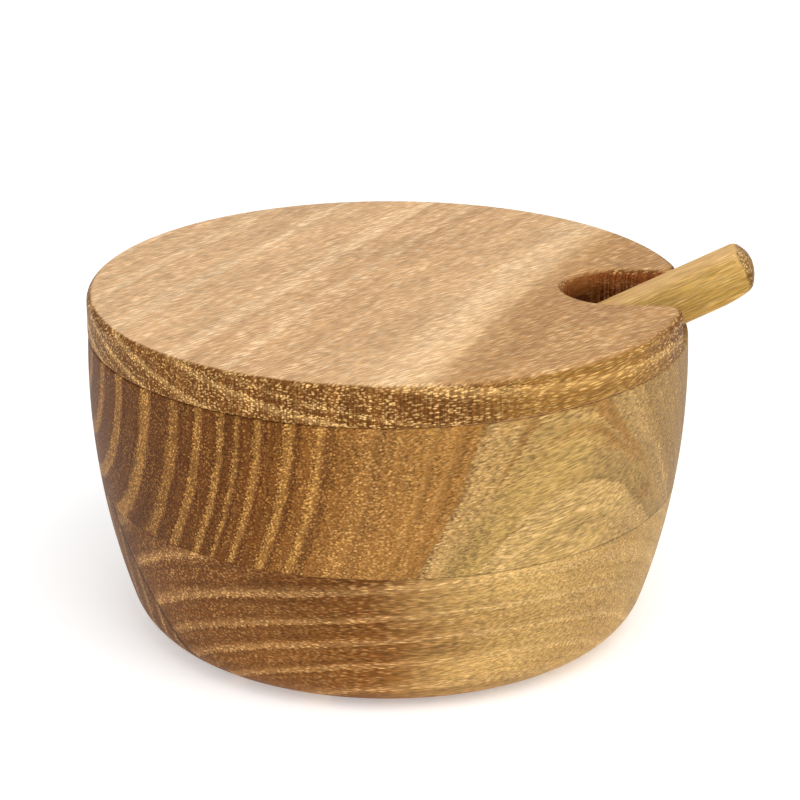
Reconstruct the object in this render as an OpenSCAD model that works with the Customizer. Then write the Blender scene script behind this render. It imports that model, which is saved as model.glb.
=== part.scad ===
// Turned wooden spice bowl with a loose lid and a carved spoon.
// The origin is the middle of the flat foot, +Z is up, and the spoon leans out towards +X.

/* [Bowl] */
// Widest outer diameter of the bowl
bowl_d = 115; // [100:1:150]
// Height of the rim above the foot
bowl_h = 59; // [50:1:80]
// Wall thickness, measured at the rim
wall_t = 4.8; // [3.5:0.1:7]
// Thickness of the floor
floor_t = 8; // [5:0.5:14]
// Height at which the wall is widest
widest_z = 52; // [40:1:56]
// Radius of the wall's curve, seen from the side
wall_curve_r = 140; // [110:1:220]
// Radius of the rounded corner between wall and foot
foot_corner_r = 11; // [6:0.5:16]
// Radius of the rounded corner between wall and floor inside
inner_corner_r = 14; // [8:0.5:20]
// Rounding of the rim's inner edge, on which the spoon rests
rim_inner_r = 1.5; // [0.5:0.1:2]
// Rounding of the rim's outer edge
rim_outer_r = 0.5; // [0.2:0.1:1]
// Height of the glue plane between the two blocks
glue_z = 29.8; // [24:0.2:40]

/* [Lid] */
// Thickness of the lid's disc
lid_t = 8; // [6:0.5:14]
// How far the lid's edge stands in from the bowl's widest diameter
lid_inset = 0.1; // [0:0.1:2]
// Rounding of the lid's upper edge
lid_top_r = 1.5; // [0.4:0.1:2]
// Rounding of the lid's lower edge
lid_under_r = 0.6; // [0.2:0.1:1]
// Height of the locating ring under the lid
ring_h = 4; // [2:0.5:8]
// Clearance between the locating ring and the bowl's mouth
ring_gap = 0.5; // [0.3:0.1:1.5]
// Width of the locating ring, from its outside to the dish
ring_w = 12; // [8:0.5:14]
// Depth of the dish above the lid's seat
dish_depth = 3.5; // [3:0.1:4.5]
// Rounding of the dish's upper corner
dish_corner_r = 1.5; // [0.5:0.1:2]
// Rounding of the locating ring's lower outer edge
ring_edge_r = 0.8; // [0.3:0.1:1.5]

/* [Notch] */
// Width of the notch that the spoon passes through
notch_w = 20.5; // [19:0.5:26]
// How far the notch reaches in from the lid's edge
notch_depth = 24; // [22:0.5:28]
// Rounding of the two corners where the notch meets the lid's edge
notch_corner_r = 4; // [1:0.5:5]

/* [Spoon] */
// Length of the spoon from its nose to the end of its handle
spoon_l = 129; // [120:0.5:150]
// Slope of the spoon above the level
spoon_slope = 26; // [24:0.5:27]
// Width of the handle at its outer end
handle_w = 9.4; // [7:0.2:12]
// Thickness of the handle at its outer end
handle_h = 9; // [6:0.2:10]
// Rounding of the handle's long edges
handle_edge_r = 2; // [0.5:0.1:2.5]
// Radius of the dome on the handle's end
handle_dome_r = 8; // [7.5:0.5:14]
// Distance from the nose at which the handle has its full section
handle_full_x = 81; // [60:1:100]
// Width of the neck next to the scoop
neck_w = 7; // [5.5:0.1:9]
// Thickness of the neck next to the scoop
neck_h = 6.4; // [5:0.1:8]
// Length of the scoop
scoop_l = 34; // [26:1:42]
// Width of the scoop
scoop_w = 17; // [12:0.5:17.5]
// Thickness of the scoop
scoop_h = 8.5; // [7:0.1:8.8]
// Thickness of the scoop's wall
scoop_wall = 1.6; // [1.2:0.1:2.4]
// Radius of the round end of the scoop's hollow on the handle's side
hollow_end_r = 4; // [3:0.1:5]
// Distance from the neck to the middle of that round end
hollow_end_gap = 12; // [9:0.5:16]
// Clearance between the spoon and what it rests on
spoon_gap = 0.2; // [0.1:0.1:0.5]

/* [Hidden] */
$fn = 180;
// How far a cut runs past the face that it opens
past = 1;
bowl_r = bowl_d / 2;
lid_r = bowl_r - lid_inset;
// Middle of the arc that the wall follows, seen from the side
wall_x = bowl_r - wall_curve_r;
inner_curve_r = wall_curve_r - wall_t;
ring_r = arc_x(inner_curve_r, bowl_h) - ring_gap;
dish_r = ring_r - ring_w;
// Distance from the bowl's middle to the notch's inner end
notch_end_x = lid_r - notch_depth;
// Middle of the rounded corner between wall and floor
floor_corner_z = floor_t + inner_corner_r;
floor_corner_x = corner_x(inner_curve_r, inner_corner_r, floor_t);
// Middle of the rounding on which the handle rests
rest_z = bowl_h - rim_inner_r;
rest_x = arc_x(inner_curve_r, rest_z) + rim_inner_r;
// A point of the spoon's lower line, straight above that rounding
rest_reach = (rim_inner_r + spoon_gap) / cos(spoon_slope);
// Height above the spoon's lower line of its scoop's rim, measured upright
scoop_rise = scoop_h / cos(spoon_slope);
// The nose lies on the round corner inside: a x^2 + b x + c = 0 for its distance from the corner's middle
nose_reach = inner_corner_r - spoon_gap;
rim_line_z = rest_z + rest_reach + scoop_rise - floor_corner_z - tan(spoon_slope) * (rest_x + floor_corner_x);
quad_a = 1 + pow(tan(spoon_slope), 2);
quad_b = 2 * tan(spoon_slope) * rim_line_z;
quad_c = pow(rim_line_z, 2) - pow(nose_reach, 2);
nose_dx = (-quad_b - sqrt(pow(quad_b, 2) - 4 * quad_a * quad_c)) / (2 * quad_a);
nose_x = nose_dx - floor_corner_x;
nose_z = floor_corner_z + rim_line_z + tan(spoon_slope) * nose_dx;
hollow_end_x = scoop_l - hollow_end_gap;
// Length of the short prisms that the handle is spanned between
station_l = 0.5;

// Radius at height z of an arc of radius r about the middle of the wall's curve
function arc_x(r, z) = wall_x + sqrt(pow(r, 2) - pow(widest_z - z, 2));

// Radius of the middle of a corner of radius c that joins an arc of radius r to the level z
function corner_x(r, c, z) = wall_x + sqrt(pow(r - c, 2) - pow(widest_z - z - c, 2));

// Half section filled from the axis out to an arc, with a rounded lower corner
module filled_section(curve_r, corner_r, low_z, high_z) {
    mid_x = corner_x(curve_r, corner_r, low_z);
    mid_z = low_z + corner_r;
    meet_z = mid_z - corner_r * (widest_z - mid_z) / (curve_r - corner_r);
    intersection() {
        translate([wall_x, widest_z]) circle(curve_r);
        translate([0, meet_z]) square([bowl_d, high_z - meet_z]);
    }
    translate([0, low_z]) square([mid_x, meet_z - low_z]);
    intersection() {
        translate([mid_x, mid_z]) circle(corner_r);
        translate([mid_x, low_z]) square([corner_r, meet_z - low_z]);
    }
}

// What a rounding of radius r takes off a corner that points to the upper right
module corner_waste(r) {
    difference() {
        translate([-r, -r]) square(r + past);
        translate([-r, -r]) circle(r);
    }
}

// Half section of the whole bowl, before it is parted at the glue plane
module bowl_section() {
    difference() {
        filled_section(wall_curve_r, foot_corner_r, 0, bowl_h);
        filled_section(inner_curve_r, inner_corner_r, floor_t, bowl_h + past);
        translate([arc_x(wall_curve_r, bowl_h - rim_outer_r), bowl_h]) corner_waste(rim_outer_r);
        translate([rest_x - rim_inner_r, bowl_h]) mirror([1, 0]) corner_waste(rim_inner_r);
    }
}

module bowl_upper_block() {
    color("peru") rotate_extrude() intersection() {
        bowl_section();
        translate([0, glue_z]) square([bowl_d, bowl_h]);
    }
}

module bowl_lower_block() {
    color("sienna") rotate_extrude() intersection() {
        bowl_section();
        square([bowl_d, glue_z]);
    }
}

// Half section of the lid, with its seat on the rim at height 0
module lid_section() {
    difference() {
        union() {
            difference() {
                square([lid_r, lid_t]);
                translate([lid_r, lid_t]) corner_waste(lid_top_r);
                translate([lid_r, 0]) mirror([0, 1]) corner_waste(lid_under_r);
            }
            difference() {
                translate([0, -ring_h]) square([ring_r, ring_h + past]);
                translate([ring_r, -ring_h]) mirror([0, 1]) corner_waste(ring_edge_r);
            }
        }
        translate([0, -ring_h - past]) difference() {
            square([dish_r, ring_h + past + dish_depth]);
            translate([dish_r, ring_h + past + dish_depth]) corner_waste(dish_corner_r);
        }
    }
}

// Outline of the notch from above, with both of its outer corners rounded
module notch_outline() {
    half_w = notch_w / 2;
    round_y = half_w + notch_corner_r;
    round_x = sqrt(pow(lid_r - notch_corner_r, 2) - pow(round_y, 2));
    tip = (lid_r + past) / (lid_r - notch_corner_r);
    translate([notch_end_x + half_w, 0]) circle(half_w);
    translate([notch_end_x + half_w, -half_w]) square([lid_r + past - notch_end_x - half_w, notch_w]);
    for (side = [0, 1]) mirror([0, side]) difference() {
        polygon([[round_x, 0], [round_x, round_y], tip * [round_x, round_y], [lid_r + past, 0]]);
        translate([round_x, round_y]) circle(notch_corner_r);
    }
}

module lid() {
    color("burlywood") translate([0, 0, bowl_h]) difference() {
        rotate_extrude() lid_section();
        translate([0, 0, -ring_h - past]) linear_extrude(ring_h + lid_t + 2 * past) notch_outline();
    }
}

// Short prism across the spoon, its lower face on the spoon's lower line
module handle_station(x, w, h) {
    translate([x, 0, h / 2]) rotate([90, 0, 90]) linear_extrude(station_l)
        offset(handle_edge_r, $fn = 24) square([w - 2 * handle_edge_r, h - 2 * handle_edge_r], center = true);
}

// Ellipsoid whose upper half is cut away later, in the scoop's rim plane
module scoop_ball(x, r, depth) {
    translate([x, 0, scoop_h]) scale([1, 1, depth / r]) sphere(r, $fn = 48);
}

// The spoon along +X, its nose at the origin and its lower line level
module level_spoon() {
    difference() {
        union() {
            intersection() {
                hull() {
                    scoop_ball(scoop_w / 2, scoop_w / 2, scoop_h);
                    handle_station(scoop_l, neck_w, neck_h);
                }
                translate([0, -scoop_w / 2, 0]) cube([scoop_l + station_l, scoop_w, scoop_h]);
            }
            hull() {
                handle_station(scoop_l, neck_w, neck_h);
                handle_station(handle_full_x, handle_w, handle_h);
            }
            intersection() {
                hull() {
                    handle_station(handle_full_x, handle_w, handle_h);
                    handle_station(spoon_l - station_l, handle_w, handle_h);
                }
                translate([spoon_l - handle_dome_r, 0, handle_h / 2]) rotate([0, -90, 0])
                    union() {
                        sphere(handle_dome_r, $fn = 64);
                        cylinder(spoon_l, r = handle_dome_r, $fn = 64);
                    }
            }
        }
        hull() {
            scoop_ball(scoop_w / 2, scoop_w / 2 - scoop_wall, scoop_h - scoop_wall);
            scoop_ball(hollow_end_x, hollow_end_r, hollow_end_r);
        }
    }
}

module spoon() {
    color("darkkhaki") translate([nose_x, 0, nose_z]) rotate([0, -spoon_slope, 0])
        translate([0, 0, -scoop_h]) level_spoon();
}

bowl_upper_block();
bowl_lower_block();
lid();
spoon();
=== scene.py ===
"""Looks of the lidded wooden spice bowl and its spoon, built on the part's own frame."""

import itertools
import math
from types import SimpleNamespace

import bmesh
import bpy
from bpy.props import FloatProperty, FloatVectorProperty, PointerProperty
from bpy.types import Operator, Panel, PropertyGroup
from mathutils import Matrix, Vector


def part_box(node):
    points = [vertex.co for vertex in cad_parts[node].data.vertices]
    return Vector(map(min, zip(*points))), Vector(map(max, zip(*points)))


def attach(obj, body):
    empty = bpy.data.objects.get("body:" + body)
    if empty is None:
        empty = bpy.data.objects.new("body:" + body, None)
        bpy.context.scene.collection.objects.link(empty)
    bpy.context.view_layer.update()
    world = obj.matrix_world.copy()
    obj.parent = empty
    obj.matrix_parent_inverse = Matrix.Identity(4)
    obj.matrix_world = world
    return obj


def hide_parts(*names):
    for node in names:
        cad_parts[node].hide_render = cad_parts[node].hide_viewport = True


bl_info = {
    "name": "Lidded spice bowl",
    "version": (1, 0, 0),
    "blender": (4, 5, 0),
    "location": "3D View > Sidebar > Spice bowl",
    "description": "Builds the looks of a turned wooden spice bowl with a notched lid and a spoon",
    "category": "Object",
}

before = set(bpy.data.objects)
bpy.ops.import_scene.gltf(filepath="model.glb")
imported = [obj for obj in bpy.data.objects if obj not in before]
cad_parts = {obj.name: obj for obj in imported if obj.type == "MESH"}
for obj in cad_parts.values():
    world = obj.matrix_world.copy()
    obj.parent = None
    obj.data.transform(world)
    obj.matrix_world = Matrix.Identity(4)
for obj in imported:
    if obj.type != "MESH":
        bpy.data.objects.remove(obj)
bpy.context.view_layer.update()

MM = 0.001
# Steps round the axis of a turned piece
TURN_STEPS = 256
# Edges that bend more than this stay sharp
SHARP = math.radians(32)

# Sizes of the half sections, in millimetres, as the part's source has them
WALL_X = -82.5
WALL_Z = 52.0
WALL_R = 140.0
INNER_R = 135.2
BOWL_H = 59.0
GLUE_Z = 29.8
FLOOR_Z = 8.0
FOOT_R = 11.0
CORNER_R = 14.0
LID_R = 57.4
LID_T = 8.0
RING_R = 52.02
RING_H = 4.0
RING_EDGE_R = 0.8
DISH_R = 40.02
DISH_DEPTH = 3.5
DISH_CORNER_R = 1.5
NOTCH_HALF_W = 10.25
NOTCH_END_X = 33.4
NOTCH_CORNER_R = 4.0
SPOON_L = 129.0
SPOON_SLOPE = math.radians(26)
NOSE = Vector((-48.370, 0.0, 18.876))
SCOOP_L = 34.0
SCOOP_R = 8.5
SCOOP_WALL = 1.6
HOLLOW_END_R = 4.0
HOLLOW_END_X = 22.0
NECK = (7.0, 6.4)
HANDLE = (9.4, 9.0)
HANDLE_FULL_X = 81.0
DOME_R = 8.0
# Over what length the lower face rises towards the handle's end
END_LIFT_L = 9.0
# Steps from the neck to the full handle, where the handle's outlines stand after that, and how far each
# outline of its domed end is drawn in
NECK_STEPS = 12
HANDLE_STATIONS = (88, 98, 108, 116, 118, 119.5, 121, 122.5, 124, 125)
DOME_SHARES = (1.0, 0.9, 0.75, 0.55, 0.35, 0.15)
# How far a cutter reaches past what it cuts
PAST = 3.0

# The point that the camera looks at: millimetres to its right of the bowl's axis, and above the floor
TARGET_RIGHT = 2.253
TARGET_UP = 43.358
# Places and sizes of the lights, in metres, and the point that they face
KEY_PLACE = (0.25, -0.45, 0.75)
KEY_SIZE = 0.7
FILL_PLACE = (-0.6, -0.5, 0.4)
FILL_SIZE = 0.6
INSIDE_PLACE = (0, 0.015, 0.035)
INSIDE_SIZE = 0.01
LIT_POINT = Vector((0, 0, 0.03))
WHITE = (1, 1, 1, 1)

# Sizes of a noise along the fibres and twice across them, in millimetres, and its shift
SLOW = ((70, 24, 24), 3.7)
QUICK = ((14, 3.5, 3.5), 9.1)
STREAK = ((60, 3.2, 3.2), 5.9)
CLOUD = ((40, 15, 15), 7.7)
RAY = ((2.5, 0.2, 9), 2.2)
FLECK = ((1.2, 0.9, 0.9), 0.4)
FINE_SHIFT = 1.3
# Growth lines: millimetres across the rings, along their axis and round it
GRAIN = (0.7, 45, 40)
# Most values of a noise lie in this range
MIDDLE = (0.3, 0.7)
# A surface's normal has this much of Z on a turned side and on a nearly level top; the painted shade on steep
# sides fades out between them
SIDE_TO_TOP = (0.3, 0.95)
# How far the border of a paler region wanders, in millimetres
WANDER = 12.0
# How far in from the lid's edge the painted shade on the notch's wall begins, in millimetres
NOTCH_SHADE_IN = (2.0, 0.8)
# Display colours of the streaks in the pale wood and of the flecks round the knot
STREAK_BROWN = (134, 92, 44)
FLECK_BROWN = (142, 92, 44)
# Heights between which the streaks come in
STREAKS_Z = (38, 50)
# From where to where the half of a thin line fades, and along X where the line comes in or goes out
GLUE_LINE = (0.08, 0.24)
GLUE_SHOWS = (-5, 25)
CREASE_LINE = (0.2, 0.9)
CREASE_SHOWS = (-34, -26)


def srgb(red, green, blue):
    """A colour given in display values from 0 to 255, as the linear values of a shader."""
    out = []
    for value in (red, green, blue):
        v = value / 255
        out.append(v / 12.92 if v <= 0.04045 else ((v + 0.055) / 1.055) ** 2.4)
    return (*out, 1.0)


def arc(cx, cz, r, start, end, steps):
    """Points of an arc in a half section, with its angles in degrees."""
    points = []
    for i in range(steps + 1):
        a = math.radians(start + (end - start) * i / steps)
        points.append((cx + r * math.cos(a), cz + r * math.sin(a)))
    return points


def wall(r, low, high, steps):
    """Points of the wall's curve between two heights."""
    start = math.degrees(math.asin((low - WALL_Z) / r))
    end = math.degrees(math.asin((high - WALL_Z) / r))
    return arc(WALL_X, WALL_Z, r, start, end, steps)


def wall_x(r, z):
    """Radius of a wall's curve at a height."""
    return WALL_X + math.sqrt(r * r - (WALL_Z - z) ** 2)


def corner(r, c, z):
    """Middle of the round corner that joins a wall's curve to a level, and the angle where they meet."""
    x = WALL_X + math.sqrt((r - c) ** 2 - (WALL_Z - z - c) ** 2)
    return x, z + c, math.degrees(math.asin((z + c - WALL_Z) / (r - c)))


def linked(name, data):
    """A new object of the scene."""
    obj = bpy.data.objects.new(name, data)
    bpy.context.scene.collection.objects.link(obj)
    return obj


def finish_mesh(bm, name):
    """Turns a bmesh in millimetres into a linked object with smooth faces and sharp edges."""
    bmesh.ops.remove_doubles(bm, verts=bm.verts, dist=1e-5)
    bmesh.ops.recalc_face_normals(bm, faces=bm.faces)
    if bm.calc_volume(signed=True) < 0:
        bmesh.ops.reverse_faces(bm, faces=bm.faces)
    bmesh.ops.scale(bm, vec=(MM, MM, MM), verts=bm.verts)
    mesh = bpy.data.meshes.new(name)
    bm.to_mesh(mesh)
    bm.free()
    mesh.shade_smooth()
    mesh.set_sharp_from_angle(angle=SHARP)
    return linked(name, mesh)


def spun(section, node, closed):
    """A turned solid: the half section turned round Z, drawn in to the radius that the frame's node has."""
    bm = bmesh.new()
    low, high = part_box(node)
    reach = max(x for x, _ in section)
    draw_in = min(-low.x, high.y) / MM / reach
    verts = [bm.verts.new((x * draw_in, 0, z)) for x, z in section]
    pairs = list(zip(verts, verts[1:]))
    if closed:
        pairs.append((verts[-1], verts[0]))
    edges = [bm.edges.new(pair) for pair in pairs]
    bmesh.ops.spin(
        bm,
        geom=verts + edges,
        cent=(0, 0, 0),
        axis=(0, 0, 1),
        angle=math.tau,
        steps=TURN_STEPS,
        use_merge=True,
    )
    bmesh.ops.remove_doubles(bm, verts=bm.verts, dist=1e-5)
    return bm


def discard(obj):
    """Deletes an object with its mesh."""
    mesh = obj.data
    bpy.data.objects.remove(obj)
    bpy.data.meshes.remove(mesh)


def cut(obj, cutter):
    """Cuts one closed solid out of another and deletes the cutter."""
    modifier = obj.modifiers.new("cut", "BOOLEAN")
    modifier.operation = "DIFFERENCE"
    modifier.solver = "EXACT"
    modifier.object = cutter
    apply_modifiers(obj)
    discard(cutter)


def apply_modifiers(obj):
    """Applies an object's modifiers to its mesh."""
    bpy.context.view_layer.update()
    graph = bpy.context.evaluated_depsgraph_get()
    mesh = bpy.data.meshes.new_from_object(obj.evaluated_get(graph))
    old = obj.data
    obj.modifiers.clear()
    obj.data = mesh
    bpy.data.meshes.remove(old)
    mesh.name = obj.name


def loop(bm, points):
    """A closed loop of edges through the points."""
    made = bmesh.ops.create_circle(bm, segments=len(points), radius=1)["verts"]
    for vert, point in zip(made, points):
        vert.co = point
    return made, list({edge for vert in made for edge in vert.link_edges})


def bridged(bm, outlines):
    """Faces between one outline and the next, all with the same number of points."""
    loops = [loop(bm, points) for points in outlines]
    for (_, first), (_, second) in zip(loops, loops[1:]):
        bmesh.ops.bridge_loops(bm, edges=first + second)
    return loops


class Wood:
    """A solid wood: everything about its figure comes from where a point lies in the block."""

    def __init__(self, name):
        self.material = bpy.data.materials.new(name)
        self.material.use_nodes = True
        self.tree = self.material.node_tree
        self.tree.nodes.clear()
        self.place = self.node("ShaderNodeTexCoord").outputs["Object"]

    def node(self, kind, settings=None, inputs=None):
        """Adds a node. An input is a value or another node's output."""
        node = self.tree.nodes.new(kind)
        for key, value in (settings or {}).items():
            setattr(node, key, value)
        for key, value in (inputs or {}).items():
            if isinstance(value, bpy.types.NodeSocket):
                self.tree.links.new(value, node.inputs[key])
            else:
                node.inputs[key].default_value = value
        return node

    def math(self, operation, *values, clamp=False):
        """The result of a sum with numbers or other nodes' outputs."""
        settings = {"operation": operation, "use_clamp": clamp}
        return self.node("ShaderNodeMath", settings, dict(enumerate(values))).outputs[0]

    def along(self, axis, offset=0.0, unit=1 / MM):
        """How far a point lies along a direction, in millimetres, less an offset."""
        dot = self.node(
            "ShaderNodeVectorMath",
            {"operation": "DOT_PRODUCT"},
            {0: self.place, 1: [c * unit for c in axis]},
        ).outputs["Value"]
        return self.math("SUBTRACT", dot, offset) if offset else dot

    def vector(self, x, y, z):
        """A vector from its three parts."""
        return self.node("ShaderNodeCombineXYZ", None, {0: x, 1: y, 2: z}).outputs[0]

    def stretched(self, coords, sizes, shift=0.0):
        """The block's coordinates, each divided by a size of its own, for a texture."""
        parts = [self.math("MULTIPLY_ADD", c, 1 / s, shift) for c, s in zip(coords, sizes)]
        return self.vector(*parts)

    def noise(self, vector, detail=2.0, roughness=0.5):
        """A soft noise from 0 to 1, mostly near the middle."""
        inputs = {"Vector": vector, "Scale": 1.0, "Detail": detail, "Roughness": roughness}
        return self.node("ShaderNodeTexNoise", None, inputs).outputs[0]

    def threads(self, coords, sizes):
        """Vessels along the fibres: dots where they are cut across, dashes where cut along."""
        vector = self.stretched(coords, sizes)
        cells = self.node("ShaderNodeTexVoronoi", {"feature": "F1"}, {"Vector": vector, "Scale": 1.0})
        chance = self.node("ShaderNodeSeparateColor", None, {0: cells.outputs["Color"]}).outputs[0]
        spark = self.span(cells.outputs["Distance"], 0.22, 0.6, 1, 0)
        return self.math("MULTIPLY", spark, self.span(chance, 0.05, 0.75, 0.2, 1.0))

    def sway(self, value, amount, middle):
        """A value from 0 to 1, made to sway round a middle by an amount."""
        return self.math("MULTIPLY_ADD", self.math("SUBTRACT", value, 0.5), amount, middle)

    def span(self, value, low, high, to_low=0.0, to_high=1.0, smooth=True):
        """A value taken from one range to another, and kept within it."""
        settings = {"interpolation_type": "SMOOTHSTEP" if smooth else "LINEAR"}
        keys = ("Value", "From Min", "From Max", "To Min", "To Max")
        inputs = dict(zip(keys, (value, low, high, to_low, to_high)))
        return self.node("ShaderNodeMapRange", settings, inputs).outputs[0]

    def ramp(self, value, stops):
        """A colour for each value from 0 to 1, between stops of (value, colour)."""
        node = self.node("ShaderNodeValToRGB", None, {0: value})
        elements = node.color_ramp.elements
        elements[0].position, elements[0].color = stops[0]
        elements[1].position, elements[1].color = stops[-1]
        for position, colour in stops[1:-1]:
            elements.new(position).color = colour
        return node.outputs[0]

    def curve(self, value, points):
        """A value read off a line through points whose coordinates run from 0 to 1."""
        node = self.node("ShaderNodeFloatCurve", None, {"Factor": 1.0, "Value": value})
        line = node.mapping.curves[0]
        line.points[0].location, line.points[1].location = points[0], points[-1]
        for x, y in points[1:-1]:
            line.points.new(x, y)
        for point in line.points:
            point.handle_type = "VECTOR"
        node.mapping.update()
        return node.outputs[0]

    def mix(self, factor, first, second, blend="MIX"):
        """The first colour, with a share of the second laid over it."""
        settings = {"data_type": "RGBA", "blend_type": blend}
        return self.node("ShaderNodeMix", settings, {0: factor, 6: first, 7: second}).outputs[2]

    def scaled(self, colour, factor):
        """A colour made lighter or darker by a factor."""
        settings = {"operation": "SCALE"}
        return self.node("ShaderNodeVectorMath", settings, {0: colour, "Scale": factor}).outputs[0]


def fibre_frame(azimuth, tilt):
    """The direction of the fibres, a level direction across them, and one upwards across both."""
    a, t = math.radians(azimuth), math.radians(tilt)
    fibre = Vector((math.cos(a) * math.cos(t), math.sin(a) * math.cos(t), math.sin(t)))
    across = Vector((math.sin(a), -math.cos(a), 0))
    return fibre, across, fibre.cross(across) * (-1 if fibre.cross(across).z < 0 else 1)


def shares(table):
    """A table over radii, with each radius as its share of the way from the first to the last."""
    low, high = table[0][0], table[-1][0]
    return [((r - low) / (high - low), value) for r, value in table]


def across(w, radius, table):
    """How far a radius lies between the first and the last of a table."""
    low, high = table[0][0], table[-1][0]
    return w.math("DIVIDE", w.math("SUBTRACT", radius, low), high - low)


def growth(w, look):
    """The rings, fibres and vessels of a block."""
    f = SimpleNamespace(crease=None)
    ring_axis, ring_across, ring_up = fibre_frame(*look["ring_axis"])
    fibre, beside, above = fibre_frame(*look.get("fibre", look["ring_axis"]))
    f.coords = (w.along(fibre), w.along(beside), w.along(above))
    # How squarely the fibres are cut across, and how level the surface is
    normal = w.node("ShaderNodeNewGeometry").outputs["Normal"]
    facing = w.node("ShaderNodeVectorMath", {"operation": "DOT_PRODUCT"}, {0: normal, 1: list(fibre)})
    f.ends = w.span(w.math("ABSOLUTE", facing.outputs["Value"]), *look["end_range"])
    f.level = w.math("ABSOLUTE", w.node("ShaderNodeSeparateXYZ", None, {0: normal}).outputs[2])
    # Rings round the pith, a little out of true, and bent beyond a crease
    side = w.along(ring_across, look["pith"][0])
    height = w.along(ring_up, look["pith"][1])
    if "crease" in look:
        axis, start, fall, reach = look["crease"]
        f.crease = w.math("SUBTRACT", w.along(axis), start)
        height = w.math("ADD", height, w.span(f.crease, 0, reach, 0, reach * fall, smooth=False))
    radius = w.math("SQRT", w.math("MULTIPLY_ADD", side, side, w.math("MULTIPLY", height, height)))
    slow, quick, rough = look["warp"]
    radius = w.sway(w.noise(w.stretched(f.coords, *SLOW), 1.0), slow, radius)
    radius = w.sway(w.noise(w.stretched(f.coords, *QUICK), 2.0), quick, radius)
    f.fine = w.span(w.noise(w.stretched(f.coords, look["fine"], FINE_SHIFT), 2.0, 0.6), *MIDDLE)
    jitter = w.math("MULTIPLY", w.math("SUBTRACT", f.fine, 0.5), w.math("MULTIPLY_ADD", f.ends, 0.8, 0.2))
    f.radius = w.math("MULTIPLY_ADD", jitter, rough, radius)
    # Fine growth lines that follow the rings
    grain = w.vector(
        w.math("MULTIPLY", f.radius, 1 / GRAIN[0]),
        w.along(ring_axis, unit=1 / (GRAIN[1] * MM)),
        w.math("MULTIPLY", side, 1 / GRAIN[2]),
    )
    f.grain = w.span(w.noise(grain, 4.0, 0.6), *MIDDLE)
    # Which ring a point is in, how far through it, and a chance value of the ring's own
    radii = look["radii"]
    rings = len(radii) - 1
    table = [(r, i / rings) for i, r in enumerate(radii)]
    count = w.math("MULTIPLY", w.curve(across(w, f.radius, table), shares(table)), rings)
    f.phase = w.math("FRACT", count)
    ring = w.node("ShaderNodeTexWhiteNoise", {"noise_dimensions": "1D"}, {"W": w.math("FLOOR", count)})
    f.own = ring.outputs["Value"]
    # Fine vessels show along the fibres, and wide ones at the cut ends
    dots = w.math("MULTIPLY", f.ends, w.threads(f.coords, look["vessel"]))
    f.spark = w.math("MULTIPLY_ADD", w.math("SUBTRACT", 1, f.ends), w.threads(f.coords, look["dash"]), dots)
    f.streak = w.span(w.noise(w.stretched(f.coords, *STREAK), 3.0, 0.55), *MIDDLE)
    f.cloud = w.span(w.noise(w.stretched(f.coords, *CLOUD), 2.0), *MIDDLE)
    return f


def tones(w, look, f):
    """The colour of the wood with its porous bands and vessels, and with painted shade on its steep sides,
    before shading.
    """
    depth = across(w, f.radius, look["tones"])
    base = w.ramp(depth, shares(look["tones"]))
    bright = w.ramp(depth, shares(look["lights"]))
    # Painted shade: steep sides get a darker ground and their own vessel colour, while the level top keeps
    # the wood's tones
    if "side_shade" in look:
        side_shade = w.span(f.level, *SIDE_TO_TOP, 1, 0)
        base = w.mix(side_shade, base, look["side_shade"][0])
        bright = w.mix(side_shade, bright, look["side_shade"][1])
    # Some growth lines have more vessels than others
    side_density, end_density = look["density"]
    density = w.math("MULTIPLY_ADD", f.ends, end_density - side_density, side_density)
    density = w.math("MULTIPLY", density, w.math("MULTIPLY_ADD", f.grain, 0.9, 0.55))
    strength = w.curve(depth, shares(look["band_strength"]))
    if "region" in look:
        # Part of the block has a paler tone and weaker bands, with a wandering border
        axis, low, high, colour, most = look["region"]
        gold = w.span(w.sway(f.cloud, WANDER, w.along(axis)), low, high, 0, most)
        base = w.mix(gold, base, colour)
        bright = w.mix(gold, bright, look["region_light"])
        strength = w.math("MULTIPLY", strength, w.math("MULTIPLY_ADD", gold, -0.5, 1.0))
    end_colour, end_share = look["end"]
    colour = w.mix(w.math("MULTIPLY", f.ends, end_share), base, end_colour)
    if "end_light" in look:
        bright = w.mix(f.ends, bright, look["end_light"])
    # Porous bands along the rings, each of its own strength
    low, full, end, out = look["band"]
    band = w.math("MULTIPLY", w.span(f.phase, low, full), w.span(f.phase, end, out, 1, 0))
    own = w.math("MULTIPLY_ADD", f.own, 0.4, 0.6)
    band = w.math("MULTIPLY", band, w.math("MULTIPLY", strength, own))
    if "zone" in look:
        zone = w.curve(across(w, f.radius, look["zone"]), shares(look["zone"]))
        band = w.math("MAXIMUM", band, zone)
    if "line" in look:
        # The dense dark line that begins a ring
        low, high, most = look["line"]
        line = w.math("MULTIPLY", w.span(f.phase, low, high, 1, 0), strength)
        colour = w.mix(w.math("MULTIPLY", line, most), colour, look["dark"])
    fill, glint = look["band_mix"]
    lift = w.math("MULTIPLY", w.math("MULTIPLY_ADD", band, glint, density), f.spark)
    return w.mix(w.math("MULTIPLY_ADD", band, fill, lift, clamp=True), colour, bright)


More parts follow.
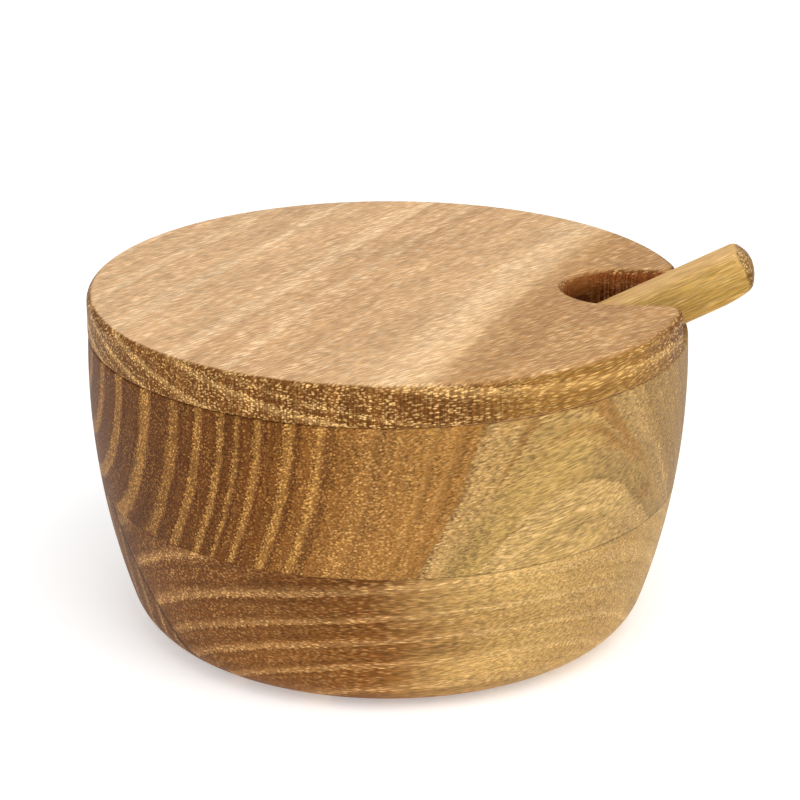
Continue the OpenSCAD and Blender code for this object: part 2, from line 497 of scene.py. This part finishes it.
def marks(w, look, f, colour, shade):
    """Marks of one place: painted shade on the notch's wall, rays, streaks, lines, crease, glue and knot."""
    x, y, z = (w.along(axis) for axis in ((1, 0, 0), (0, 1, 0), (0, 0, 1)))
    if "notch_wall_shade" in look:
        # Painted shade: the notch's wall gets a darker, redder colour, and between two heights it gets darker
        # downwards
        tone, most, low, high = look["notch_wall_shade"]
        inputs = {0: w.vector(x, y, 0.0)}
        out = w.node("ShaderNodeVectorMath", {"operation": "LENGTH"}, inputs).outputs["Value"]
        inside = w.span(out, *(LID_R - d for d in NOTCH_SHADE_IN), 1, 0)
        share = w.math("MULTIPLY", inside, w.span(f.level, 0.2, 0.9, 1, 0))
        colour = w.mix(w.math("MULTIPLY", share, most), colour, tone)
        shade = w.math("MULTIPLY", shade, w.math("MULTIPLY_ADD", share, w.span(z, low, high, -0.5, 0), 1.0))
    if "rays" in look:
        rays = w.span(w.noise(w.stretched(f.coords, *RAY), 1.0), 0.35, 0.65)
        rays = w.math("MULTIPLY", w.math("SUBTRACT", rays, 0.5), w.math("MULTIPLY", f.ends, look["rays"]))
        shade = w.math("ADD", shade, rays)
    if "dark_streaks" in look:
        low, high, most = look["dark_streaks"]
        begin = w.span(f.radius, low - 0.6, low + 0.3)
        patch = w.math("MULTIPLY", begin, w.span(f.radius, high - 0.3, high + 0.6, 1, 0))
        patch = w.math("MULTIPLY", patch, w.span(z, *STREAKS_Z, 0.15, 1))
        patch = w.math("MULTIPLY", patch, w.span(f.grain, 0.5, 0.8))
        colour = w.mix(w.math("MULTIPLY", patch, most), colour, srgb(*STREAK_BROWN))
    if "zone_line" in look:
        away = w.math("ABSOLUTE", w.math("SUBTRACT", f.radius, look["zone_line"]))
        shade = w.math("SUBTRACT", shade, w.span(away, 0.05, 0.4, 0.16, 0))
    if f.crease is not None:
        # The wood past the crease is a little darker, and the crease is a dark line at its open end
        shade = w.math("MULTIPLY", shade, w.span(f.crease, 0, 0.3, 1, 0.9))
        crack = w.span(w.math("ABSOLUTE", f.crease), *CREASE_LINE, 1, 0)
        colour = w.mix(w.math("MULTIPLY", crack, w.span(x, *CREASE_SHOWS, 0.75, 0)), colour, look["dark"])
    if "glue" in look:
        # The glue line shows more where the two blocks' woods look alike
        thin = w.span(w.math("ABSOLUTE", w.math("SUBTRACT", z, look["glue"])), *GLUE_LINE, 1, 0)
        shade = w.math("SUBTRACT", shade, w.math("MULTIPLY", thin, w.span(x, *GLUE_SHOWS, 0.1, 0.42)))
    if "knot" in look:
        place, reach = look["knot"]
        inputs = {0: w.place, 1: [c * MM for c in place]}
        away = w.node("ShaderNodeVectorMath", {"operation": "DISTANCE"}, inputs).outputs["Value"]
        near = w.span(away, reach * 0.3 * MM, reach * MM, 1, 0)
        fleck = w.span(w.noise(w.stretched(f.coords, *FLECK), 2.0), 0.46, 0.56)
        colour = w.mix(w.math("MULTIPLY", w.math("MULTIPLY", near, fleck), 0.6), colour, srgb(*FLECK_BROWN))
    return colour, shade


def wood(name, look):
    """A wood from a table of its ring axis, ring radii, tones and vessels."""
    s = bpy.context.scene.spicebowl_woods
    w = Wood(name)
    f = growth(w, look)
    shade = 1.0
    for value, amount in zip((f.fine, f.streak, f.cloud, f.grain), look["shade"]):
        shade = w.sway(value, amount, shade)
    colour, shade = marks(w, look, f, tones(w, look, f), shade)
    colour = w.mix(1.0, w.scaled(colour, shade), (*getattr(s, name + "_tint"), 1), "MULTIPLY")
    rough = w.math("MULTIPLY_ADD", f.fine, 0.2, s.roughness - 0.1)
    relief = w.math("MULTIPLY_ADD", f.spark, 0.6, w.math("MULTIPLY", f.fine, 0.4))
    bump = w.node("ShaderNodeBump", None, {"Strength": 0.3, "Distance": s.relief, "Height": relief})
    shader = w.node(
        "ShaderNodeBsdfPrincipled",
        None,
        {"Base Color": colour, "Roughness": rough, "Normal": bump.outputs[0], "Specular IOR Level": s.shine},
    )
    w.node("ShaderNodeOutputMaterial", None, {"Surface": shader.outputs[0]})
    return w.material


# What a wood's table says. ring_axis and fibre: azimuth and tilt in degrees. pith: where the rings' axis
# passes, in millimetres across and up. warp: how far slow, quick and fine noise move the rings. radii: where
# rings begin. tones and lights: colours of the ground and of the vessels over the radius. band: start, full,
# end and out of a ring's porous band, as shares of the ring. band_mix: the band's even and speckled light.
# zone: more porous bands, over the radius. density: share of vessels on side and on end grain. vessel and
# dash: sizes of the vessels where the fibres are cut across and along. shade: strength of the fine, streaked,
# cloudy and ring-following noise.
UPPER_WOOD = {
    "ring_axis": (35.6, 9.9),
    "pith": (-26.5, 65.8),
    "warp": (1.6, 0.7, 0.9),
    "radii": (
        0, 9, 17.5, 25.4, 34.8, 42.3, 47.5, 51.9, 54.7, 58.5,
        63.5, 67.5, 73.5, 81.8, 91, 99, 106, 113, 120,
    ),
    "tones": [
        (0, srgb(80, 45, 17)),
        (38, srgb(83, 46, 16)),
        (52, srgb(94, 52, 16)),
        (62, srgb(108, 63, 21)),
        (72, srgb(130, 83, 33)),
        (79, srgb(148, 102, 46)),
        (81.6, srgb(142, 96, 42)),
        (82.1, srgb(158, 117, 62)),
        (85, srgb(170, 137, 78)),
        (110, srgb(170, 137, 78)),
    ],
    "lights": [
        (0, srgb(188, 134, 68)),
        (66, srgb(200, 150, 80)),
        (81.6, srgb(206, 160, 100)),
        (82, srgb(209, 171, 113)),
        (110, srgb(213, 178, 123)),
    ],
    "region": ((0.98, -0.1, 0), 43, 50, srgb(153, 122, 73), 0.9),
    "region_light": srgb(188, 152, 98),
    "end": (srgb(104, 62, 30), 0.2),
    "end_range": (0.2, 0.6),
    "density": (0.28, 0.34),
    "band": (0.62, 0.72, 0.95, 1.0),
    "band_mix": (0.3, 0.8),
    "band_strength": [(0, 0.8), (68, 1.0), (72, 0.7), (75.6, 0.3), (81.6, 0), (110, 0)],
    "zone": [
        (60, 0),
        (68, 0.15),
        (74, 0.4),
        (80, 0.2),
        (81.7, 0.12),
        (82, 0.85),
        (83.6, 0.65),
        (84.8, 0.08),
        (86.4, 0),
        (86.7, 0.95),
        (88.5, 0.6),
        (91, 0.25),
        (100, 0.2),
    ],
    "zone_line": 81.9,
    "line": (0.03, 0.3, 0.75),
    "dark": srgb(82, 42, 18),
    "vessel": (2.4, 0.42, 0.42),
    "dash": (3.0, 0.3, 0.3),
    "fine": (2.2, 0.32, 0.32),
    "shade": (0.74, 0.1, 0.14, 0.34),
    "dark_streaks": (83.2, 84.6, 0.7),
    "knot": ((48.4, -29.6, 37.5), 3.2),
    "glue": GLUE_Z,
}
LOWER_WOOD = {
    "ring_axis": (6.7, 3.8),
    "pith": (71.7, -63.0),
    "crease": ((-0.45, 0.681, -0.577), -8.97, 1.4, 16.0),
    "warp": (0.8, 0.7, 0.7),
    "radii": (0, 20, 40, 52, 60, 66.5, 71.5, 76.5, 81.3, 86.0, 91.5, 99.0, 107, 116, 126, 137, 150),
    "tones": [
        (0, srgb(130, 84, 32)),
        (70, srgb(126, 78, 30)),
        (100, srgb(94, 53, 18)),
        (150, srgb(92, 51, 17)),
    ],
    "lights": [(0, srgb(214, 166, 104)), (150, srgb(208, 158, 98))],
    "region": ((0.94, -0.3, -0.3), 8, 40, srgb(196, 158, 94), 0.95),
    "region_light": srgb(230, 194, 134),
    "end": (srgb(106, 64, 32), 0.25),
    "end_range": (0.2, 0.7),
    "density": (0.34, 0.38),
    "band": (0.0, 0.03, 0.1, 0.36),
    "band_mix": (0.3, 0.65),
    "band_strength": [(0, 0.8), (60, 0.9), (150, 1.0)],
    "dark": srgb(58, 30, 18),
    "vessel": (2.4, 0.42, 0.42),
    "dash": (2.2, 0.34, 0.34),
    "fine": (2.2, 0.32, 0.32),
    "shade": (0.74, 0.1, 0.14, 0.26),
    "glue": GLUE_Z,
}
LID_WOOD = {
    "ring_axis": (60.0, -1.9),
    "fibre": (43.0, 3.0),
    "pith": (84.4, 400.0),
    "warp": (1.2, 0.5, 0.5),
    "radii": (300, 315, 325, 337.9, 345.0, 347.5, 352.7, 356.8, 360.9, 366, 372, 380, 400),
    "tones": [
        (300, srgb(180, 135, 88)),
        (337.4, srgb(177, 132, 84)),
        (338.4, srgb(209, 167, 119)),
        (344, srgb(198, 154, 108)),
        (352, srgb(206, 164, 119)),
        (400, srgb(208, 166, 121)),
    ],
    "lights": [
        (300, srgb(230, 190, 138)),
        (338, srgb(232, 192, 140)),
        (339, srgb(246, 212, 168)),
        (400, srgb(246, 212, 168)),
    ],
    # Painted shade: darker ground and vessel colours on the lid's steep sides
    "side_shade": (srgb(142, 100, 44), srgb(216, 170, 102)),
    "end": (srgb(104, 62, 22), 0.97),
    "end_light": srgb(230, 184, 116),
    "end_range": (0.12, 0.5),
    "density": (0.75, 0.75),
    "band": (0.0, 0.03, 0.12, 0.38),
    "band_mix": (0.25, 0.6),
    "band_strength": [(300, 1.0), (400, 1.0)],
    # Painted shade on the notch's wall: its colour, its share, and the heights between which it darkens
    # downwards
    "notch_wall_shade": (srgb(140, 73, 33), 0.75, 62, 66.5),
    "vessel": (3.0, 0.52, 0.36),
    "dash": (3.2, 0.3, 0.3),
    "fine": (3.2, 0.3, 0.3),
    "shade": (0.52, 0.1, 0.1, 0.14),
    "rays": 0.5,
}
SPOON_WOOD = {
    "ring_axis": (0.0, 26.0),
    "pith": (40.0, -60.0),
    "warp": (1.0, 0.3, 0.4),
    "radii": (0, 30, 50, 60, 64, 68, 72, 76, 80, 84, 88, 92, 100, 120),
    "tones": [(0, srgb(204, 160, 98)), (120, srgb(206, 162, 102))],
    "lights": [(0, srgb(232, 194, 134)), (120, srgb(232, 194, 134))],
    # Painted shade: darker ground and vessel colours on the spoon's steep sides
    "side_shade": (srgb(184, 144, 72), srgb(228, 190, 126)),
    "end": (srgb(110, 70, 30), 0.92),
    "end_range": (0.3, 0.75),
    "density": (0.35, 0.5),
    "band": (0.0, 0.05, 0.2, 0.5),
    "band_mix": (0.2, 0.3),
    "band_strength": [(0, 1.0), (120, 1.0)],
    "vessel": (3.0, 0.44, 0.44),
    "dash": (5.0, 0.3, 0.3),
    "fine": (4, 0.3, 0.3),
    "shade": (0.5, 0.26, 0.1, 0.1),
}


class SpiceBowlStageSettings(PropertyGroup):
    """Camera and light."""

    azimuth: FloatProperty(
        name="Azimuth",
        description="Turn of the camera round the object",
        default=math.radians(1.9),
        subtype="ANGLE",
    )
    elevation: FloatProperty(
        name="Elevation",
        description="Height of the camera as an angle",
        default=math.radians(20.20),
        subtype="ANGLE",
    )
    distance: FloatProperty(
        name="Distance",
        description="From the camera to the point it looks at",
        default=0.56414,
        unit="LENGTH",
    )
    lens: FloatProperty(name="Lens", description="Focal length on a 36 mm sensor", default=131.07)
    floor_size: FloatProperty(name="Floor size", description="Side of the floor", default=6.0, unit="LENGTH")
    floor_colour: FloatVectorProperty(
        name="Floor colour", description="Colour of the floor", default=(0.9, 0.9, 0.9), subtype="COLOR"
    )
    floor_glow: FloatProperty(
        name="Floor glow",
        description="Light that the floor gives off by itself",
        default=0.34,
    )
    world_light: FloatProperty(
        name="World light",
        description="Strength of the even white light",
        default=0.65,
    )
    key_light: FloatProperty(name="Key light", description="Power of the large light, in watts", default=4.2)
    fill_light: FloatProperty(
        name="Fill light",
        description="Power of the light beside it, in watts",
        default=1.2,
    )
    inside_light: FloatProperty(
        name="Inside light",
        description="Power, in watts, of the faint light in the closed bowl",
        default=0.02,
    )


def tint(piece):
    """A colour that the wood of one piece is multiplied by."""
    return FloatVectorProperty(
        name=piece + " tint",
        description=f"Colour that the {piece.lower()}'s wood is multiplied by",
        default=(1, 1, 1),
        min=0,
        max=2,
        subtype="COLOR",
    )


class SpiceBowlWoodSettings(PropertyGroup):
    """Colours and finish of the woods."""

    upper_wood_tint: tint("Upper block")
    lower_wood_tint: tint("Lower block")
    lid_wood_tint: tint("Lid")
    spoon_wood_tint: tint("Spoon")
    roughness: FloatProperty(
        name="Roughness",
        description="Mean roughness of the wood",
        default=0.5,
        min=0.2,
        max=0.9,
    )
    shine: FloatProperty(
        name="Shine",
        description="Strength of the oiled wood's reflection",
        default=0.06,
        min=0,
    )
    relief: FloatProperty(
        name="Relief",
        description="Depth of the open vessels",
        default=0.00005,
        unit="LENGTH",
    )


class SpiceBowlSizeSettings(PropertyGroup):
    """Sizes that a user would change and that stay inside the frame's pieces."""

    lid_top_rounding: FloatProperty(
        name="Lid rounding", description="Rounding of the lid's upper edges", default=0.0015, unit="LENGTH"
    )
    lid_under_rounding: FloatProperty(
        name="Lid lower rounding",
        description="Rounding of the lid's lower edge",
        default=0.0006,
        unit="LENGTH",
    )
    rim_inner_rounding: FloatProperty(
        name="Rim inner rounding",
        description="Rounding of the rim's inner edge",
        default=0.0015,
        unit="LENGTH",
    )
    rim_outer_rounding: FloatProperty(
        name="Rim outer rounding",
        description="Rounding of the rim's outer edge",
        default=0.0005,
        unit="LENGTH",
    )
    handle_rounding: FloatProperty(
        name="Handle rounding",
        description="Rounding of the handle's long edges",
        default=0.002,
        unit="LENGTH",
    )
    end_rounding: FloatProperty(
        name="Handle end rounding",
        description="Rounding round the handle's end",
        default=0.0006,
        unit="LENGTH",
    )
    end_lift: FloatProperty(
        name="Handle end lift",
        description="Rise of the handle's lower face at its end",
        default=0.0016,
        unit="LENGTH",
    )


def make_camera(s):
    """The photograph's camera, from its turn, height, distance and lens."""
    a, e = s.azimuth, s.elevation
    back = Vector((math.sin(a) * math.cos(e), -math.cos(a) * math.cos(e), math.sin(e)))
    right = Vector((math.cos(a), math.sin(a), 0))
    up = back.cross(right)
    target = right * TARGET_RIGHT * MM + Vector((0, 0, TARGET_UP * MM))
    data = bpy.data.cameras.new("camera")
    data.sensor_width = 36
    data.lens = s.lens
    data.clip_start = 0.01
    camera = linked("camera", data)
    turn = Matrix((right, up, back)).transposed().to_4x4()
    camera.matrix_world = Matrix.Translation(target + back * s.distance) @ turn
    bpy.context.scene.camera = camera


def make_light(name, kind, place, power):
    """A light at a place, turned to the bowl."""
    light = bpy.data.lights.new(name, kind)
    light.energy = power
    lamp = linked(name, light)
    lamp.location = place
    lamp.rotation_euler = (LIT_POINT - Vector(place)).to_track_quat("-Z", "Y").to_euler()
    return lamp


def make_floor(s):
    """The pale matt floor, which gives off some light of its own."""
    bm = bmesh.new()
    bmesh.ops.create_grid(bm, x_segments=1, y_segments=1, size=s.floor_size / 2)
    mesh = bpy.data.meshes.new("floor")
    bm.to_mesh(mesh)
    bm.free()
    floor = linked("floor", mesh)
    paint = bpy.data.materials.new("floor")
    paint.use_nodes = True
    shader = paint.node_tree.nodes["Principled BSDF"]
    shader.inputs["Base Color"].default_value = (*s.floor_colour, 1)
    shader.inputs["Roughness"].default_value = 0.9
    shader.inputs["Specular IOR Level"].default_value = 0.0
    shader.inputs["Emission Color"].default_value = WHITE
    shader.inputs["Emission Strength"].default_value = s.floor_glow
    mesh.materials.append(paint)


class SPICEBOWL_OT_stage(Operator):
    """Makes the camera, the soft light and the pale floor"""

    bl_idname = "spicebowl.stage"
    bl_label = "Stage"

    def execute(self, context):
        s = context.scene.spicebowl_stage
        make_camera(s)
        make_light("key", "AREA", KEY_PLACE, s.key_light).data.size = KEY_SIZE
        make_light("fill", "AREA", FILL_PLACE, s.fill_light).data.size = FILL_SIZE
        inside = make_light("inside", "POINT", INSIDE_PLACE, s.inside_light)
        inside.data.shadow_soft_size = INSIDE_SIZE
        inside.visible_camera = False
        world = bpy.data.worlds.new("world")
        world.use_nodes = True
        background = world.node_tree.nodes["Background"]
        background.inputs["Color"].default_value = WHITE
        background.inputs["Strength"].default_value = s.world_light
        context.scene.world = world
        make_floor(s)
        context.scene.view_settings.view_transform = "Standard"
        return {"FINISHED"}


def stands_for(piece, node, body, material):
    """Gives a new piece its wood and its body, and hides the frame's node that it stands for."""
    piece.data.materials.clear()
    piece.data.materials.append(material)
    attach(piece, body)
    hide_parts(node)


class SPICEBOWL_OT_upper_block(Operator):
    """Makes the bowl's upper block, with its rim"""

    bl_idname = "spicebowl.upper_block"
    bl_label = "Upper block"

    def execute(self, context):
        s = context.scene.spicebowl_sizes
        outer_r, inner_r = s.rim_outer_rounding / MM, s.rim_inner_rounding / MM
        rim_z = BOWL_H - outer_r
        rest_z = BOWL_H - inner_r
        section = wall(WALL_R, GLUE_Z, rim_z, steps=24)
        section += arc(wall_x(WALL_R, rim_z) - outer_r, rim_z, outer_r, 0, 90, steps=4)
        section += arc(wall_x(INNER_R, rest_z) + inner_r, rest_z, inner_r, 90, 180, steps=8)
        section += wall(INNER_R, rest_z, GLUE_Z, steps=24)
        piece = finish_mesh(spun(section, "bowl_upper_block", True), "upper_block")
        stands_for(piece, "bowl_upper_block", "bowl", wood("upper_wood", UPPER_WOOD))
        return {"FINISHED"}


class SPICEBOWL_OT_lower_block(Operator):
    """Makes the bowl's lower block, with its foot and its floor"""

    bl_idname = "spicebowl.lower_block"
    bl_label = "Lower block"

    def execute(self, context):
        foot_x, foot_z, foot_angle = corner(WALL_R, FOOT_R, 0)
        inner_x, inner_z, inner_angle = corner(INNER_R, CORNER_R, FLOOR_Z)
        section = [(0, 0)]
        section += arc(foot_x, foot_z, FOOT_R, -90, foot_angle, steps=16)
        foot_top = WALL_Z + WALL_R * math.sin(math.radians(foot_angle))
        corner_top = WALL_Z + INNER_R * math.sin(math.radians(inner_angle))
        section += wall(WALL_R, foot_top, GLUE_Z, steps=20)[1:]
        section += wall(INNER_R, GLUE_Z, corner_top, steps=12)
        section += arc(inner_x, inner_z, CORNER_R, inner_angle, -90, steps=16)[1:]
        section += [(0, FLOOR_Z)]
        piece = finish_mesh(spun(section, "bowl_lower_block", False), "lower_block")
        stands_for(piece, "bowl_lower_block", "bowl", wood("lower_wood", LOWER_WOOD))
        return {"FINISHED"}


def notch_outline(off, reach):
    """Outline of the notch from above, grown by a distance, with its open end drawn out to a radius."""
    half_w = NOTCH_HALF_W + off
    corner_r = NOTCH_CORNER_R - off
    mid_y = NOTCH_HALF_W + NOTCH_CORNER_R
    mid_x = math.sqrt((LID_R - NOTCH_CORNER_R) ** 2 - mid_y**2)
    tangent = math.degrees(math.atan2(mid_y, mid_x))
    end_x = NOTCH_END_X + NOTCH_HALF_W
    side = arc(end_x, 0, half_w, 180, 90, steps=24)
    side += arc(mid_x, mid_y, corner_r, -90, tangent, steps=12)
    side.append((reach * math.cos(math.radians(tangent)), reach * math.sin(math.radians(tangent))))
    return side + [(x, -y) for x, y in reversed(side[1:])]


class SPICEBOWL_OT_lid(Operator):
    """Makes the lid with its locating ring, its dish and its notch"""

    bl_idname = "spicebowl.lid"
    bl_label = "Lid"

    def execute(self, context):
        s = context.scene.spicebowl_sizes
        top_r, under_r = s.lid_top_rounding / MM, s.lid_under_rounding / MM
        top = BOWL_H + LID_T
        under = BOWL_H - RING_H
        dish = BOWL_H + DISH_DEPTH
        section = [(0, top)]
        section += arc(LID_R - top_r, top - top_r, top_r, 90, 0, steps=8)
        section += arc(LID_R - under_r, BOWL_H + under_r, under_r, 0, -90, steps=4)
        section += [(RING_R, BOWL_H)]
        section += arc(RING_R - RING_EDGE_R, under + RING_EDGE_R, RING_EDGE_R, 0, -90, steps=4)
        section += [(DISH_R, under)]
        section += arc(DISH_R - DISH_CORNER_R, dish - DISH_CORNER_R, DISH_CORNER_R, 0, 90, steps=6)
        section += [(0, dish)]
        piece = finish_mesh(spun(section, "lid", False), "lid_disc")
        # The notch widens at the top, where its edge is rounded
        levels = [(0.0, under - PAST), (0.0, BOWL_H), (0.0, top - top_r)]
        levels += [(top_r - x, z) for x, z in arc(0, top - top_r, top_r, 0, 90, steps=8)[1:]]
        levels.append((top_r, top + PAST))
        outlines = [[(x, y, z) for x, y in notch_outline(off, LID_R + PAST)] for off, z in levels]
        bm = bmesh.new()
        loops = bridged(bm, outlines)
        for _, edges in (loops[0], loops[-1]):
            bmesh.ops.contextual_create(bm, geom=edges)
        cut(piece, finish_mesh(bm, "notch"))
        piece.data.set_sharp_from_angle(angle=SHARP)
        weighted = piece.modifiers.new("normals", "WEIGHTED_NORMAL")
        weighted.keep_sharp = True
        apply_modifiers(piece)
        stands_for(piece, "lid", "lid", wood("lid_wood", LID_WOOD))
        return {"FINISHED"}


def ball(x, r, rows=41, columns=64):
    """Points of a ball centred in the scoop's rim plane, none of them in that plane."""
    points = []
    for i in range(rows + 1):
        tilt = math.pi * (i / rows - 0.5)
        for j in range(columns):
            turn = math.tau * j / columns
            row_r = r * math.cos(tilt)
            points.append((x + row_r * math.cos(turn), row_r * math.sin(turn), SCOOP_R + r * math.sin(tilt)))
    return points


def hull(points):
    """The closed convex solid round the points."""
    bm = bmesh.new()
    for point in points:
        bm.verts.new(point)
    bmesh.ops.remove_doubles(bm, verts=bm.verts, dist=1e-4)
    bmesh.ops.convex_hull(bm, input=bm.verts)
    bmesh.ops.delete(bm, geom=[v for v in bm.verts if not v.link_faces], context="VERTS")
    return bm


def rounded_box(u, width, height, steps=5):
    """Outline of the spoon across its length, with its lower face on the spoon's lower line."""
    r = bpy.context.scene.spicebowl_sizes.handle_rounding / MM
    points = []
    for quarter in range(4):
        sy = 1 if quarter in (0, 3) else -1
        sw = 1 if quarter in (0, 1) else -1
        start = 90 * quarter
        for y, w in arc(sy * (width / 2 - r), sw * (height / 2 - r), r, start, start + 90, steps):
            points.append(Vector((u, y, w + height / 2)))
    return points


def hollow_scoop():
    """The scoop in millimetres, hollow, and open where the neck goes on."""
    solid = hull(ball(SCOOP_R, SCOOP_R) + rounded_box(SCOOP_L, *NECK))
    scoop = finish_mesh(solid, "scoop")
    wide = SCOOP_R + PAST
    corners = itertools.product((-PAST, SCOOP_L + PAST), (-wide, wide), (SCOOP_R, 3 * SCOOP_R))
    cut(scoop, finish_mesh(hull(corners), "above_rim"))
    hollow = ball(SCOOP_R, SCOOP_R - SCOOP_WALL) + ball(HOLLOW_END_X, HOLLOW_END_R)
    cut(scoop, finish_mesh(hull(hollow), "hollow"))
    bm = bmesh.new()
    bm.from_mesh(scoop.data)
    bmesh.ops.scale(bm, vec=(1 / MM, 1 / MM, 1 / MM), verts=bm.verts)
    discard(scoop)
    end = [f for f in bm.faces if all(abs(v.co.x - SCOOP_L) < 1e-3 for v in f.verts)]
    bmesh.ops.delete(bm, geom=end, context="FACES")
    return bm


def handle_outlines():
    """Outlines of the neck, the handle and its domed end, in that order."""
    outlines = [rounded_box(SCOOP_L, *NECK)]
    for i in range(1, NECK_STEPS + 1):
        t = i / NECK_STEPS
        sizes = (a + (b - a) * t for a, b in zip(NECK, HANDLE))
        outlines.append(rounded_box(SCOOP_L + (HANDLE_FULL_X - SCOOP_L) * t, *sizes))
    outlines += [rounded_box(u, *HANDLE) for u in HANDLE_STATIONS]
    for share in DOME_SHARES:
        outline = []
        for point in rounded_box(0, *HANDLE):
            y, w = point.y * share, (point.z - HANDLE[1] / 2) * share
            u = SPOON_L - DOME_R + math.sqrt(DOME_R**2 - y * y - w * w)
            outline.append(Vector((u, y, w + HANDLE[1] / 2)))
        outlines.append(outline)
    return outlines


class SPICEBOWL_OT_spoon(Operator):
    """Makes the spoon, with its hollow scoop and its squared handle"""

    bl_idname = "spicebowl.spoon"
    bl_label = "Spoon"

    def execute(self, context):
        s = context.scene.spicebowl_sizes
        bm = hollow_scoop()
        loops = bridged(bm, handle_outlines())
        tip = Vector((SPOON_L, 0, HANDLE[1] / 2))
        bmesh.ops.pointmerge(bm, verts=loops[-1][0], merge_co=tip)
        edge = loops[-len(DOME_SHARES)][1]
        bmesh.ops.remove_doubles(bm, verts=bm.verts, dist=1e-3)
        bmesh.ops.bevel(
            bm,
            geom=[e for e in edge if e.is_valid],
            offset=s.end_rounding / MM,
            affect="EDGES",
            segments=3,
            profile=0.5,
            material=-1,
        )
        # The lower face rises towards the end
        for vert in bm.verts:
            reach = max(0.0, (vert.co.x - SPOON_L + END_LIFT_L) / END_LIFT_L)
            vert.co.z += s.end_lift / MM * reach**2 * (1 - vert.co.z / HANDLE[1])
        spoon = finish_mesh(bm, "spoon_wood")
        to_place = (
            Matrix.Translation(NOSE * MM)
            @ Matrix.Rotation(-SPOON_SLOPE, 4, "Y")
            @ Matrix.Translation((0, 0, -SCOOP_R * MM))
        )
        spoon.data.transform(to_place)
        spoon.data.set_sharp_from_angle(angle=SHARP)
        stands_for(spoon, "spoon", "spoon", wood("spoon_wood", SPOON_WOOD))
        return {"FINISHED"}


STEPS = (
    SPICEBOWL_OT_stage,
    SPICEBOWL_OT_upper_block,
    SPICEBOWL_OT_lower_block,
    SPICEBOWL_OT_lid,
    SPICEBOWL_OT_spoon,
)


class SPICEBOWL_PT_panel(Panel):
    """Lists what the add-on makes"""

    bl_idname = "SPICEBOWL_PT_panel"
    bl_label = "Spice bowl"
    bl_space_type = "VIEW_3D"
    bl_region_type = "UI"
    bl_category = "Spice bowl"

    def draw(self, context):
        scene = context.scene
        for group in (scene.spicebowl_stage, scene.spicebowl_woods, scene.spicebowl_sizes):
            for name in group.bl_rna.properties.keys():
                if name not in ("rna_type", "name"):
                    self.layout.prop(group, name)
        for step in STEPS:
            self.layout.operator(step.bl_idname)


CLASSES = (SpiceBowlStageSettings, SpiceBowlWoodSettings, SpiceBowlSizeSettings, *STEPS, SPICEBOWL_PT_panel)


def register():
    for cls in CLASSES:
        bpy.utils.register_class(cls)
    bpy.types.Scene.spicebowl_stage = PointerProperty(type=SpiceBowlStageSettings)
    bpy.types.Scene.spicebowl_woods = PointerProperty(type=SpiceBowlWoodSettings)
    bpy.types.Scene.spicebowl_sizes = PointerProperty(type=SpiceBowlSizeSettings)


def unregister():
    del bpy.types.Scene.spicebowl_sizes
    del bpy.types.Scene.spicebowl_woods
    del bpy.types.Scene.spicebowl_stage
    for cls in reversed(CLASSES):
        bpy.utils.unregister_class(cls)


def main():
    """Builds the stage and the pieces."""
    register()
    bpy.ops.spicebowl.stage()
    bpy.ops.spicebowl.upper_block()
    bpy.ops.spicebowl.lower_block()
    bpy.ops.spicebowl.lid()
    bpy.ops.spicebowl.spoon()


if __name__ == "__main__":
    main()
